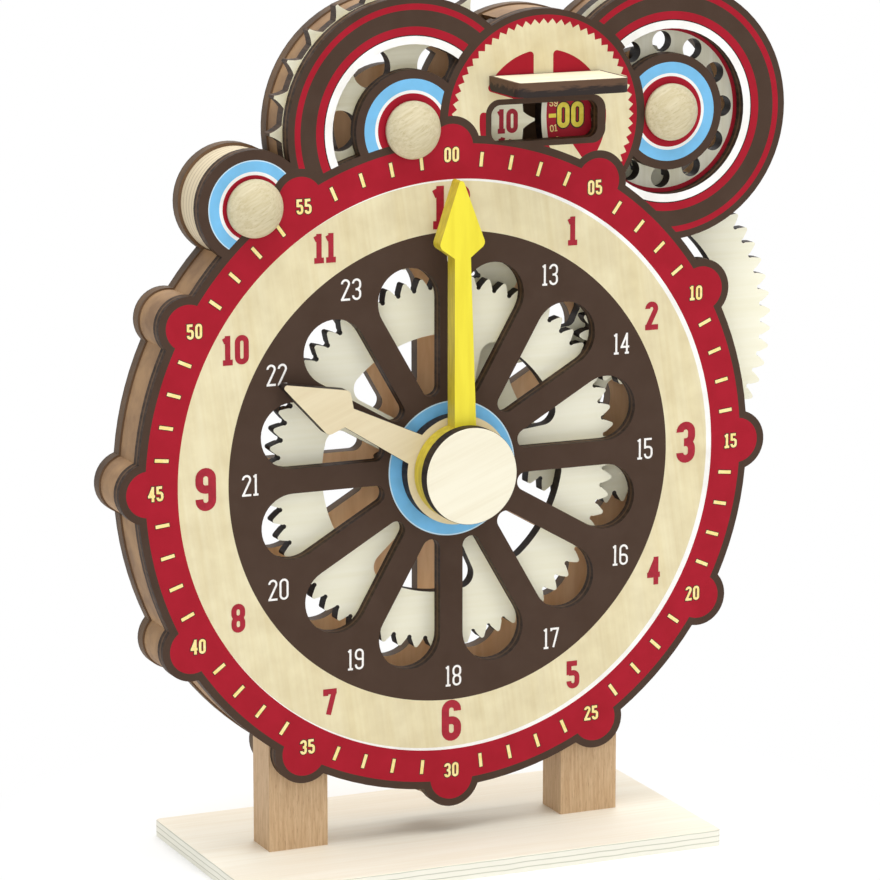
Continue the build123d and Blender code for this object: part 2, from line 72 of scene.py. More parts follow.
def add(tree, kind, inputs=None, **settings):
    # one node: an input takes a fixed value, a socket, or a node, which stands for its first output
    node = tree.nodes.new("ShaderNode" + kind)
    for key, value in settings.items():
        setattr(node, key, value)
    for key, source in (inputs or {}).items():
        source = getattr(source, "outputs", [source])[0]
        if isinstance(source, bpy.types.NodeSocket):
            tree.links.new(source, node.inputs[key])
        else:
            node.inputs[key].default_value = source
    return node


def calc(tree, operation, *inputs):
    return add(tree, "Math", dict(enumerate(inputs)), operation=operation)


def vectorCalc(tree, operation, *inputs):
    return add(tree, "VectorMath", dict(enumerate(inputs)), operation=operation)


def noise(tree, place, scale, detail, roughness=0.5):
    return add(tree, "TexNoise", {"Vector": place, "Scale": scale, "Detail": detail, "Roughness": roughness})


def blend(tree, share, under, over, **settings):
    # the colour underneath where the share is 0, the one over it where the share is 1
    return add(tree, "MixRGB", {0: share, 1: under, 2: over}, **settings)


def ramp(tree, share, stops):
    # colours along a share from 0 to 1: stops are positions and hex colours
    node = add(tree, "ValToRGB", {0: share})
    elements = node.color_ramp.elements
    for i, (position, hexText) in enumerate(stops):
        element = elements[i] if i < 2 else elements.new(position)
        element.position = position
        element.color = tint(hexText)
    return node


def shadeRamp(tree, share, span, dark, light):
    # from dark to light as the share crosses a span
    return ramp(tree, share, zip(span, (dark, light)))


def fadeAcross(tree, value, span, ends=(0.0, 1.0), **settings):
    # from one end to the other as a value crosses a span
    return add(tree, "MapRange", {"Value": value, "From Min": span[0], "From Max": span[1],
                                  "To Min": ends[0], "To Max": ends[1]}, **settings)


def part(tree, vector, axis):
    return add(tree, "SeparateXYZ", {0: vector}).outputs[axis]


def placeInMm(tree):
    # Object coordinates in millimetres, so that patterns are written in real sizes
    coords = add(tree, "TexCoord")
    return add(tree, "VectorMath", {0: coords.outputs["Object"], "Scale": 1 / mm}, operation="SCALE")


def inDialPlane(tree, place):
    # a place with its depth left out
    return vectorCalc(tree, "MULTIPLY", place, (1, 0, 1))


def awayFrom(tree, flat, axis, shift=(0, 0)):
    # distance from an axis in the dial's plane, or from a point to the right of it and above it
    centre = (axis.x / mm + shift[0], 0, axis.z / mm + shift[1])
    return vectorCalc(tree, "DISTANCE", flat, centre).outputs["Value"]


def facing(tree, axis):
    # how squarely a surface looks along one axis of its piece: 1 or -1 on the flat faces, 0 on the sides
    return part(tree, add(tree, "TexCoord").outputs["Normal"], axis)


squareEnough = 0.7


def onFlatFace(tree, axis):
    return calc(tree, "GREATER_THAN", calc(tree, "ABSOLUTE", facing(tree, axis)), squareEnough)


def onFront(tree):
    return calc(tree, "LESS_THAN", facing(tree, "Y"), -squareEnough)


grainNoise = {"scale": 1.0, "detail": 4.0, "roughness": 0.55}


def grain(tree, place, wide, long, along, lean=0):
    # wood grain: noise drawn out along one axis and leaning in the dial's plane, sizes in millimetres
    leant = add(tree, "VectorRotate", {"Vector": place, "Angle": math.radians(lean)}, rotation_type="Y_AXIS")
    stretch = [1 / wide] * 3
    stretch["XYZ".index(along)] = 1 / long
    return noise(tree, vectorCalc(tree, "MULTIPLY", leant, stretch), **grainNoise)


def startMaterial(name, roughness, specular=0.3):
    material = bpy.data.materials.new(name)
    material.use_nodes = True
    tree = material.node_tree
    shader = tree.nodes["Principled BSDF"]
    shader.inputs["Roughness"].default_value = roughness
    shader.inputs["Specular IOR Level"].default_value = specular
    return material, tree, shader


def dress(tree, shader, colour, relief, strength, depth=0.2):
    # the finished colour, and a relief of a given depth in millimetres
    bump = add(tree, "Bump", {"Height": relief, "Strength": strength, "Distance": depth * mm})
    tree.links.new(bump.outputs[0], shader.inputs["Normal"])
    tree.links.new(colour.outputs[0], shader.inputs["Base Color"])


# Wood, paint and metal: spans are shares of the noise, other lengths are millimetres

birchLook = {"roughness": 0.6, "wide": 1.6, "long": 60.0, "cloudWide": 9.0, "cloudLong": 70.0, "share": 0.5,
             "span": (0.36, 0.6), "relief": 0.12}


def birchFace(tree, place, light, dark, along, lean=0):
    # sanded birch: faint fine streaks over broader soft clouds
    streaks = grain(tree, place, birchLook["wide"], birchLook["long"], along, lean)
    fine = calc(tree, "MULTIPLY", streaks, birchLook["share"])
    cloud = grain(tree, place, birchLook["cloudWide"], birchLook["cloudLong"], along, lean)
    both = calc(tree, "MULTIPLY_ADD", cloud, birchLook["share"], fine)
    return shadeRamp(tree, both, birchLook["span"], dark, light), fine


charLook = {"wide": 1.4, "long": 6.0, "span": (0.35, 0.68), "tones": ("#3d2f27", "#1e1613")}


def charredSide(tree, place, tones=charLook["tones"]):
    # what a laser leaves on a cut edge: brown-black with short streaks through the thickness
    light, dark = tones
    streaks = grain(tree, place, charLook["wide"], charLook["long"], "Y")
    return shadeRamp(tree, streaks, charLook["span"], dark, light)


def laserCutBirch(name, light, dark, char=charLook["tones"], lean=0):
    # birch ply cut by laser: pale satin faces and charred sides
    material, tree, shader = startMaterial(name, birchLook["roughness"])
    place = placeInMm(tree)
    wood, fine = birchFace(tree, place, light, dark, "X", lean)
    colour = blend(tree, onFlatFace(tree, "Y"), charredSide(tree, place, char), wood)
    dress(tree, shader, colour, fine, birchLook["relief"])
    return material


stainLook = {"roughness": 0.62, "wide": 5.0, "long": 30.0, "span": (0.34, 0.66), "patchScale": 0.07,
             "patchDetail": 5.0, "patchRoughness": 0.6, "sideSpan": (0.36, 0.62), "scorch": "#2b2019",
             "relief": 0.1}


def stainedPly(name, light, dark, sideLight, sideDark, seams, innerLightAndShade=None):
    # tan-stained sheet: cloudy faces, and cut sides with scorched lines where sheets meet and end
    material, tree, shader = startMaterial(name, stainLook["roughness"])
    place = placeInMm(tree)
    cloud = grain(tree, place, stainLook["wide"], stainLook["long"], "Z")
    face = shadeRamp(tree, cloud, stainLook["span"], dark, light)
    if innerLightAndShade:
        # the face towards the wheels is painted paler than the back as painted light, and carries painted shade
        # along the sheet's outline, where it lies in the recess between the plates
        # painted light: paler colours on the inner face, standing in for light in the recess behind the front
        # plate
        paintedLighter = shadeRamp(tree, cloud, stainLook["span"], innerLightAndShade["dark"], innerLightAndShade["light"])
        flat = inDialPlane(tree, place)
        # painted shade: a dark brown laid over the inner face beyond the dial and both rings, near the outline
        underPaintedShade = 1.0
        for axis, reach in innerLightAndShade["clear"]:
            past = calc(tree, "GREATER_THAN", awayFrom(tree, flat, axis), reach)
            underPaintedShade = calc(tree, "MULTIPLY", past, underPaintedShade)
        within = blend(tree, underPaintedShade, paintedLighter, tint(innerLightAndShade["paintedShade"]))
        face = blend(tree, onFront(tree), face, within)
    # sides are smoked unevenly, in patches a centimetre or so across
    patch = noise(tree, place, stainLook["patchScale"], stainLook["patchDetail"], stainLook["patchRoughness"])
    side = shadeRamp(tree, patch, stainLook["sideSpan"], sideDark, sideLight)
    depth = part(tree, place, "Y")
    for at, wide, strength in seams:
        off = calc(tree, "ABSOLUTE", calc(tree, "SUBTRACT", depth, at))
        scorch = fadeAcross(tree, off, (wide / 2, wide), (strength, 0.0))
        side = blend(tree, scorch, side, tint(stainLook["scorch"]))
    colour = blend(tree, onFlatFace(tree, "Y"), side, face)
    dress(tree, shader, colour, cloud, stainLook["relief"])
    return material


layerLook = {"roughness": 0.6, "waverScale": 0.08, "waverDetail": 2.0, "waver": 0.7, "span": (0.0, 0.28),
             "relief": 0.1}


def layeredPly(name, light, dark, layer, axis, edgeLight, edgeDark):
    # thick birch ply whose layers show as fine wavering lines on the cut edge
    material, tree, shader = startMaterial(name, layerLook["roughness"])
    place = placeInMm(tree)
    wood, fine = birchFace(tree, place, light, dark, "X")
    waver = noise(tree, place, layerLook["waverScale"], layerLook["waverDetail"])
    bent = calc(tree, "MULTIPLY_ADD", waver, layerLook["waver"], part(tree, place, axis))
    share = calc(tree, "MULTIPLY", calc(tree, "PINGPONG", bent, layer / 2), 2 / layer)
    edge = shadeRamp(tree, share, layerLook["span"], edgeDark, edgeLight)
    colour = blend(tree, onFlatFace(tree, axis), edge, wood)
    dress(tree, shader, colour, fine, layerLook["relief"])
    return material


beechLook = {"roughness": 0.55, "span": (0.32, 0.66), "rayWide": 0.45, "rayLong": 5.0, "raySpan": (0.56, 0.7),
             "rayShare": 0.55, "relief": 0.15}


def beech(name, light, dark, fleckDark, wide, long, along, lean=0, relief=beechLook["relief"]):
    # planed or turned beech: fine grain with the short dark flecks of its rays
    material, tree, shader = startMaterial(name, beechLook["roughness"])
    place = placeInMm(tree)
    wood = shadeRamp(tree, grain(tree, place, wide, long, along, lean), beechLook["span"], dark, light)
    rays = grain(tree, place, wide * beechLook["rayWide"], wide * beechLook["rayLong"], along, lean)
    fleck = fadeAcross(tree, rays, beechLook["raySpan"], (0.0, beechLook["rayShare"]))
    dress(tree, shader, blend(tree, fleck, wood, tint(fleckDark)), rays, relief)
    return material


paintLook = {"roughness": 0.42, "specular": 0.4, "wide": 3.0, "long": 30.0, "span": (0.35, 0.62),
             "sideWide": 1.5, "sideLong": 9.0, "sideSpan": (0.35, 0.65), "relief": 0.06}


def paintedPly(name, face, faceShade, side, sideShade):
    # brushed satin paint on ply: an even bright face, and a duller side where the wood drank it
    material, tree, shader = startMaterial(name, paintLook["roughness"], paintLook["specular"])
    place = placeInMm(tree)
    brush = grain(tree, place, paintLook["wide"], paintLook["long"], "Z")
    front = shadeRamp(tree, brush, paintLook["span"], faceShade, face)
    soak = grain(tree, place, paintLook["sideWide"], paintLook["sideLong"], "Z")
    edge = shadeRamp(tree, soak, paintLook["sideSpan"], sideShade, side)
    dress(tree, shader, blend(tree, onFlatFace(tree, "Y"), edge, front), brush, paintLook["relief"])
    return material


metalLook = {"roughness": 0.35, "specular": 0.5, "wide": 0.3, "long": 12.0, "span": (0.3, 0.7), "relief": 0.1,
             "depth": 0.05}


def drawnMetal(name, light, dark):
    # drawn rod and tube: fine bright lines along the length, drawn coarser than real so that they show
    material, tree, shader = startMaterial(name, metalLook["roughness"], metalLook["specular"])
    shader.inputs["Metallic"].default_value = 1.0
    lines = grain(tree, placeInMm(tree), metalLook["wide"], metalLook["long"], "Y")
    shade = shadeRamp(tree, lines, metalLook["span"], dark, light)
    dress(tree, shader, shade, lines, metalLook["relief"], metalLook["depth"])
    return material


inkLook = {"roughness": 0.5, "scale": 0.6, "detail": 3.0, "span": (0.35, 0.65), "relief": 0.05, "depth": 0.1}


def printInk(name, light, dark):
    # screen-printed ink: flat colour with a little mottle
    material, tree, shader = startMaterial(name, inkLook["roughness"])
    mottle = noise(tree, placeInMm(tree), inkLook["scale"], inkLook["detail"])
    shade = shadeRamp(tree, mottle, inkLook["span"], dark, light)
    dress(tree, shader, shade, mottle, inkLook["relief"], inkLook["depth"])
    return material


print("wood, paint and metal ready")

# Printed faces: coloured inks on birch, sizes in millimetres

inks = {"brown": "#4d3c32", "red": "#a91e2f", "blue": "#7dc3f1", "paleBlue": "#c9e6f8", "white": "#fafaf8",
        "line": "#2f231e"}


def fromSpoke(tree, flat, axis, count):
    # angle from the nearest of a number of evenly spaced spokes, the first at twelve o'clock
    offset = vectorCalc(tree, "SUBTRACT", flat, (axis.x / mm, 0, axis.z / mm))
    bearing = calc(tree, "ARCTAN2", part(tree, offset, "X"), part(tree, offset, "Z"))
    return calc(tree, "PINGPONG", bearing, math.pi / count)


def bandArt(tree, away, bands, span):
    # concentric printed bands, each from its own radius outwards
    art = ramp(tree, calc(tree, "DIVIDE", away, span), [(start / span, inks[ink]) for start, ink in bands])
    art.color_ramp.interpolation = "CONSTANT"
    return art


def withinCorners(tree, past, corner):
    # inside a shape with rounded corners, given how far a place lies past the corners' centres
    overrun = vectorCalc(tree, "LENGTH", vectorCalc(tree, "MAXIMUM", past, (0, 0, 0))).outputs["Value"]
    return calc(tree, "LESS_THAN", overrun, corner)


dialPrint = {
    "disc": 116.0, "lobeAt": 112.1, "lobe": 10.8, "lobes": 12, "border": 2.7, "overlap": 0.02,
    "bands": [(0, "blue"), (23.2, "paleBlue"), (23.6, "brown"), (83.0, "line"), (83.4, "white"),
              (101.3, "red")],
    "shift": (0.2, -0.45), "woodFrom": 83.4, "woodTo": 100.65, "woodShift": (-0.95, -0.25),
}


def dialArt(tree, flat, wood):
    away = awayFrom(tree, flat, dialAxis)
    # the print sits a little low on the cut plate, and its bare wood ring a little to the left of the rest
    printAway = awayFrom(tree, flat, dialAxis, dialPrint["shift"])
    woodAway = awayFrom(tree, flat, dialAxis, dialPrint["woodShift"])
    bands = bandArt(tree, printAway, dialPrint["bands"], dialPrint["disc"])
    past = calc(tree, "GREATER_THAN", printAway, dialPrint["woodFrom"])
    short = calc(tree, "LESS_THAN", woodAway, dialPrint["woodTo"])
    face = blend(tree, calc(tree, "MULTIPLY", past, short), bands, wood)
    # distance to the nearest lobe's centre, by the law of cosines
    cosine = calc(tree, "COSINE", fromSpoke(tree, flat, dialAxis, dialPrint["lobes"]))
    chord = calc(tree, "MULTIPLY", away, cosine)
    squared = calc(tree, "MULTIPLY_ADD", away, away, dialPrint["lobeAt"] ** 2)
    toLobe = calc(tree, "SQRT", calc(tree, "MULTIPLY_ADD", chord, -2 * dialPrint["lobeAt"], squared))
    offLobe = calc(tree, "SUBTRACT", toLobe, dialPrint["lobe"])
    offDisc = calc(tree, "SUBTRACT", away, dialPrint["disc"])
    outline = calc(tree, "MINIMUM", offLobe, offDisc)
    inside = calc(tree, "LESS_THAN", outline, -dialPrint["border"])
    bordered = blend(tree, inside, tint(inks["brown"]), face)
    return bordered, calc(tree, "LESS_THAN", outline, dialPrint["overlap"])


centrePrint = {
    "shift": 0.4, "outer": 39.2, "border": 36.1, "gearTip": 34.8, "gearRoot": 33.0, "teeth": 64,
    "opening": 24.2, "spokes": 5, "spokeHalf": 3.7, "openingCorner": 1.8,
    "windowHalf": (22.9, 8.5), "windowCorner": 5.2, "windowShift": (1.5, -0.9),
}


def centreArt(tree, flat, wood):
    printAxis = centreAxis + Vector((centrePrint["shift"] * mm, 0, 0))
    away = awayFrom(tree, flat, printAxis)
    # pointed teeth: the gear's edge falls from tip to root across half a tooth
    fall = (centrePrint["gearRoot"] - centrePrint["gearTip"]) * centrePrint["teeth"] / math.pi
    fromTooth = fromSpoke(tree, flat, printAxis, centrePrint["teeth"])
    rim = calc(tree, "MULTIPLY_ADD", fromTooth, fall, centrePrint["gearTip"])
    gear = blend(tree, calc(tree, "LESS_THAN", away, rim), tint(inks["red"]), wood)
    # red openings between the printed spokes, with rounded corners
    sine = calc(tree, "SINE", fromSpoke(tree, flat, printAxis, centrePrint["spokes"]))
    sides = add(tree, "CombineXYZ", {0: calc(tree, "MULTIPLY", away, sine), 1: away})
    rounding = centrePrint["openingCorner"]
    limits = (rounding + centrePrint["spokeHalf"], rounding - centrePrint["opening"], 0)
    past = vectorCalc(tree, "MULTIPLY_ADD", sides, (-1, 1, 0), limits)
    opened = blend(tree, withinCorners(tree, past, rounding), gear, tint(inks["red"]))
    # brown frame round the window: inside a rounded rectangle
    corner = centrePrint["windowCorner"]
    halfWide, halfTall = centrePrint["windowHalf"]
    right, up = centrePrint["windowShift"]
    offset = vectorCalc(tree, "SUBTRACT", flat, (centreAxis.x / mm + right, 0, centreAxis.z / mm + up))
    mirrored = vectorCalc(tree, "ABSOLUTE", offset)
    beyond = vectorCalc(tree, "SUBTRACT", mirrored, (halfWide - corner, 0, halfTall - corner))
    framed = blend(tree, withinCorners(tree, beyond, corner), opened, tint(inks["brown"]))
    inside = calc(tree, "LESS_THAN", away, centrePrint["border"])
    bordered = blend(tree, inside, tint(inks["brown"]), framed)
    return bordered, calc(tree, "LESS_THAN", away, centrePrint["outer"])


ringPrint = {
    "span": 91.0,
    "bands": [(0, "red"), (12.3, "white"), (13.4, "blue"), (17.1, "paleBlue"), (17.4, "brown"), (29.0, "white"),
              (31.9, "line"), (32.2, "red"), (35.0, "brown"), (40.6, "red"), (43.0, "brown")],
}
earPrint = {
    "outer": 19.8,
    "bands": [(0, "red"), (11.2, "white"), (12.3, "blue"), (15.9, "paleBlue"), (16.3, "brown")],
}
plateLook = {
    "roughness": 0.5, "specular": 0.08, "light": "#e9dfbb", "dark": "#e2d5ac", "lean": 8, "relief": 0.1,
    "mottleScale": 0.12, "mottleDetail": 4.0, "mottleSpan": (0.3, 0.7), "mottleDark": "#f1eeea",
    "mottleLight": "#ffffff", "char": ("#4a382c", "#2a1f18"), "core": "#7a5c40", "coreHalf": 0.55,
    "coreShare": 0.45,
}


def printedBirch():
    # birch ply with inks printed on the front, charred dark brown where it was cut, its core a little paler
    material, tree, shader = startMaterial("printedBirchPly", plateLook["roughness"], plateLook["specular"])
    place = placeInMm(tree)
    flat = inDialPlane(tree, place)
    wood, fine = birchFace(tree, place, plateLook["light"], plateLook["dark"], "Z", plateLook["lean"])
    nearer = calc(tree, "MINIMUM", awayFrom(tree, flat, starAxis), awayFrom(tree, flat, discAxis))
    rings = bandArt(tree, nearer, ringPrint["bands"], ringPrint["span"])
    earAway = awayFrom(tree, flat, earAxis)
    onEar = calc(tree, "LESS_THAN", earAway, earPrint["outer"])
    ear = bandArt(tree, earAway, earPrint["bands"], earPrint["outer"])
    art = blend(tree, onEar, rings, ear)
    for draw in (centreArt, dialArt):
        drawing, onDrawing = draw(tree, flat, wood)
        art = blend(tree, onDrawing, art, drawing)
    # ink lies a little unevenly on the grain
    mottle = noise(tree, place, plateLook["mottleScale"], plateLook["mottleDetail"])
    shade = shadeRamp(tree, mottle, plateLook["mottleSpan"], plateLook["mottleDark"], plateLook["mottleLight"])
    printed = blend(tree, 1.0, art, shade, blend_type="MULTIPLY")
    side = charredSide(tree, place, plateLook["char"])
    middle = (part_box("front_plate")[0].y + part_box("front_plate")[1].y) / 2 / mm
    onCore = calc(tree, "COMPARE", part(tree, place, "Y"), middle, plateLook["coreHalf"])
    core = calc(tree, "MULTIPLY", onCore, plateLook["coreShare"])
    lined = blend(tree, core, side, tint(plateLook["core"]))
    cut = blend(tree, onFlatFace(tree, "Y"), lined, wood)
    dress(tree, shader, blend(tree, onFront(tree), cut, printed), fine, plateLook["relief"])
    return material


discPrint = {"roughness": 0.5, "specular": 0.2, "light": "#e9e6d3", "dark": "#dad5bb", "redFrom": 27.9,
             "redTo": 44.6, "shift": (0.5, 0), "relief": 0.1}


def printedDisc():
    # birch disc with a red printed band between a bare rim and a bare middle
    material, tree, shader = startMaterial("printedMinuteDisc", discPrint["roughness"], discPrint["specular"])
    place = placeInMm(tree)
    flat = inDialPlane(tree, place)
    wood, fine = birchFace(tree, place, discPrint["light"], discPrint["dark"], "Z")
    printAway = awayFrom(tree, flat, discAxis, discPrint["shift"])
    past = calc(tree, "GREATER_THAN", printAway, discPrint["redFrom"])
    short = calc(tree, "LESS_THAN", awayFrom(tree, flat, discAxis), discPrint["redTo"])
    inked = calc(tree, "MULTIPLY", calc(tree, "MULTIPLY", past, short), onFront(tree))
    face = blend(tree, inked, wood, tint(inks["red"]))
    colour = blend(tree, onFlatFace(tree, "Y"), charredSide(tree, place), face)
    dress(tree, shader, colour, fine, discPrint["relief"])
    return material


flapLook = {"roughness": 0.6, "light": "#f3ecd2", "dark": "#e7dcb8", "border": "#5d4a3c", "borderIn": 0.5,
            "borderWide": 1.0, "edgeLight": "#5f4532", "edgeDark": "#2b211d", "wide": 1.2, "long": 6.0,
            "seam": 5.0, "seamSpan": (2.1, 3.2), "relief": 0.1}


def flapBirch():
    # pale top with a scorched border, and an edge burnt in two tones with a wandering seam
    low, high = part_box("display_flap")
    half = ((high - low) / 2 / mm).to_tuple()
    middle = ((high + low) / 2 / mm).to_tuple()
    material, tree, shader = startMaterial("flapBirchPly", flapLook["roughness"])
    place = placeInMm(tree)
    wood, fine = birchFace(tree, place, flapLook["light"], flapLook["dark"], "X")
    offset = vectorCalc(tree, "SUBTRACT", place, middle)
    inset = vectorCalc(tree, "SUBTRACT", half, vectorCalc(tree, "ABSOLUTE", offset))
    nearest = calc(tree, "MINIMUM", part(tree, inset, "X"), part(tree, inset, "Y"))
    onBorder = calc(tree, "COMPARE", nearest, flapLook["borderIn"], flapLook["borderWide"] / 2)
    top = blend(tree, onBorder, wood, tint(flapLook["border"]))
    scorch = grain(tree, place, flapLook["wide"], flapLook["long"], "X")
    wavy = calc(tree, "MULTIPLY_ADD", scorch, flapLook["seam"], part(tree, offset, "Z"))
    tone = fadeAcross(tree, wavy, flapLook["seamSpan"])
    side = blend(tree, tone, tint(flapLook["edgeDark"]), tint(flapLook["edgeLight"]))
    dress(tree, shader, blend(tree, onFlatFace(tree, "Z"), side, top), fine, flapLook["relief"])
    return material


# seams are depth, width and strength of a scorched line
backSeams = [(7.5, 0.5, 0.55), (12.4, 0.7, 0.85)]
rimSeams = [(-7.3, 0.9, 0.75), (7.5, 0.5, 0.55)]
# the inner face of the back plate: paler colours as painted light, a painted shade colour near the outline, and
# the radii kept clear of that shade
backInsidePaintedLightAndShade = {"light": "#f2caa4", "dark": "#e0b289", "paintedShade": "#6f543c",
              "clear": [(dialAxis, 95.0), (starAxis, 39.0), (discAxis, 39.0)]}
finishes = [
    (printedBirch(), ["front_plate"]),
    (printedDisc(), ["minute_disc"]),
    (stainedPly("stainedBackPlyPaintedLightAndShade", "#dab891", "#c5a17a", "#695139", "#4c3a2a", backSeams, backInsidePaintedLightAndShade),
     ["back_plate"]),
    (stainedPly("stainedRimPly", "#b08e69", "#977654", "#a5835e", "#84664a", rimSeams),
     ["left_rim", "bottom_rim", "right_rim", "star_rim", "centre_rim", "disc_rim"]),
    (laserCutBirch("laserCutBirchWheel", "#fefbe6", "#f9f5db"),
     ["hour_wheel", "idler_wheel", "idler_pinion", "minute_pinion", "disc_pinion", "step_finger"]),
    (laserCutBirch("laserCutBirchStar", "#f6f2da", "#e9e3c5", ("#574232", "#2f231b")), ["hour_disc"]),
    (laserCutBirch("laserCutBirchHand", "#e2d4b2", "#dbcba7", lean=22), ["hour_hand"]),
    (laserCutBirch("laserCutBirchCap", "#f2ecd6", "#ebe3ca", ("#3a2a22", "#1e1613"), 22), ["hub_cap"]),
    (flapBirch(), ["display_flap", "flap_lugs"]),
    (layeredPly("birchPlyBoard", "#faf4e4", "#f4ebd7", 2.0, "Z", "#f3f1e4", "#bdbdaa"), ["base_plate"]),
    (layeredPly("birchPlyBlock", "#e6d9bc", "#d8c9a8", 2.6, "Y", "#d9caab", "#a9957a"), ["ear_spacer"]),
    (beech("planedBeechPost", "#d2b48f", "#bd9b75", "#94704c", 0.7, 12.0, "Z"), ["left_post", "right_post"]),
    (beech("beechDowel", "#e0cba2", "#cdb487", "#a98a5c", 0.8, 18.0, "Y"),
     ["disc_axle", "star_axle", "ear_axle", "idler_axle", "arbor_collar", "disc_collar", "star_collar",
      "ear_collar", "arbor_spacer", "idler_spacer", "disc_spacer", "star_spacer", "washers"]),
    (paintedPly("yellowPaintedPly", "#f0e136", "#e8d72d", "#dcc93c", "#c4b033"), ["minute_hand"]),
    (drawnMetal("drawnSteelRod", "#b9bcc0", "#8f9296"), ["minute_arbor", "post_screws", "flap_hinge_pin"]),
    (drawnMetal("drawnBrassTube", "#cdb06a", "#a98a45"), ["hour_sleeve"]),
]
for material, names in finishes:
    for name in names:
        nodes[name].data.materials.clear()
        nodes[name].data.materials.append(material)
print("finishes on", sum(len(names) for material, names in finishes), "nodes")


def finishPiece(name, bm, material, body, smooth=False):
    mesh = bpy.data.meshes.new(name)
    for face in bm.faces:
        face.smooth = smooth
    bm.to_mesh(mesh)
    bm.free()
    mesh.materials.append(material)
    piece = bpy.data.objects.new(name, mesh)
    bpy.context.scene.collection.objects.link(piece)
    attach(piece, body)
    return piece


# Turned knobs: a dome on a short skirt, spun about each axle

knobShape = {"ringSteps": 72, "domeSteps": 10, "skirt": 1.4, "weld": 0.001, "backFacing": 0.9}
knobBeech = beech("turnedBeechKnob", "#d6cbab", "#c7ba94", "#aa9a73", 0.9, 26.0, "X", 28, 0.03)


def turnKnob(node, name, body, axis):
    low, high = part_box(node)
    radius = (high.x - low.x) / 2
    dome = high.y - low.y - knobShape["skirt"] * mm
    ball = (radius ** 2 + dome ** 2) / (2 * dome)
    bm = bmesh.new()
    top = bm.verts.new((axis.x, low.y, axis.z))
    # the dome's arc about its ball's centre, then the skirt and the flat back
    arc = bmesh.ops.spin(bm, geom=[top], cent=(axis.x, low.y + ball, axis.z), axis=(0, 0, 1),
                         angle=math.asin(radius / ball), steps=knobShape["domeSteps"])
    edge = [item for item in arc["geom_last"] if isinstance(item, bmesh.types.BMVert)]
    for target in (Vector((edge[0].co.x, high.y, axis.z)), Vector((axis.x, high.y, axis.z))):
        grown = bmesh.ops.extrude_vert_indiv(bm, verts=edge)
        edge = grown["verts"]
        edge[0].co = target
    bmesh.ops.spin(bm, geom=bm.verts[:] + bm.edges[:], cent=(axis.x, 0, axis.z), axis=(0, 1, 0),
                   angle=2 * math.pi, steps=knobShape["ringSteps"], use_merge=True)
    bmesh.ops.remove_doubles(bm, verts=bm.verts, dist=knobShape["weld"] * mm)
    bmesh.ops.recalc_face_normals(bm, faces=bm.faces)
    piece = finishPiece(name, bm, knobBeech, body, True)
    for face in piece.data.polygons:
        face.use_smooth = face.normal.y < knobShape["backFacing"]
    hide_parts(node)


turnKnob("star_knob", "starTurnedKnob", "hour_display", starAxis)
turnKnob("disc_knob", "discTurnedKnob", "minute_display", discAxis)
turnKnob("ear_knob", "earTurnedKnob", "ear_button", earAxis)
print("knobs turned")

# Printed numbers: flat pen strokes with slab feet, one unit tall, then set in place as thin ink

inkLayer = {"thick": 0.03, "step": 0.008, "under": 0.0, "over": 0.05, "turnSteps": 10}
creamInk = printInk("creamInk", "#fbe9a6", "#f5dc85")
yellowInk = printInk("yellowInk", "#f6e65c", "#ecd843")
redInk = printInk("redInk", "#aa1c31", "#9c172a")
whiteInk = printInk("whiteInk", "#f7f5f2", "#ece9e4")
darkInk = printInk("darkBrownInk", "#4a2a24", "#3b211d")


def penStroke(bm, at, level, heading, moves, wide):
    # a short edge is drawn along straight runs (lengths) and round turns (angle and radius)
    place = Vector((*at, level))
    angle = math.radians(heading)
    side = Vector((-math.sin(angle), math.cos(angle), 0)) * wide / 2
    ends = [bm.verts.new(place + side), bm.verts.new(place - side)]
    edge = bm.edges.new(ends)
    for move in moves:
        ahead = Vector((math.cos(angle), math.sin(angle), 0))
        if isinstance(move, tuple):
            turn = math.radians(move[0])
            centre = place + Vector((-ahead.y, ahead.x, 0)) * math.copysign(move[1], turn)
            drawn = bmesh.ops.spin(bm, geom=[edge, *ends], cent=centre, axis=(0, 0, 1), angle=turn,
                                   steps=inkLayer["turnSteps"])["geom_last"]
            place = centre + Matrix.Rotation(turn, 3, "Z") @ (place - centre)
            angle += turn
        else:
            drawn = bmesh.ops.extrude_edge_only(bm, edges=[edge])["geom"]
            moved = [item for item in drawn if isinstance(item, bmesh.types.BMVert)]
            bmesh.ops.translate(bm, vec=ahead * move, verts=moved)
            place = place + ahead * move
        ends = [item for item in drawn if isinstance(item, bmesh.types.BMVert)]
        edge = [item for item in drawn if isinstance(item, bmesh.types.BMEdge)][0]


digitShape = {"flagDrop": 0.12, "flagHeading": 205, "waist": 0.3, "stemIn": 0.4, "barDrop": 0.68,
              "slantWide": 0.8, "footWide": 1.2, "bowlUp": 0.08, "tail": 0.03, "lip": 0.06, "legWide": 0.7}


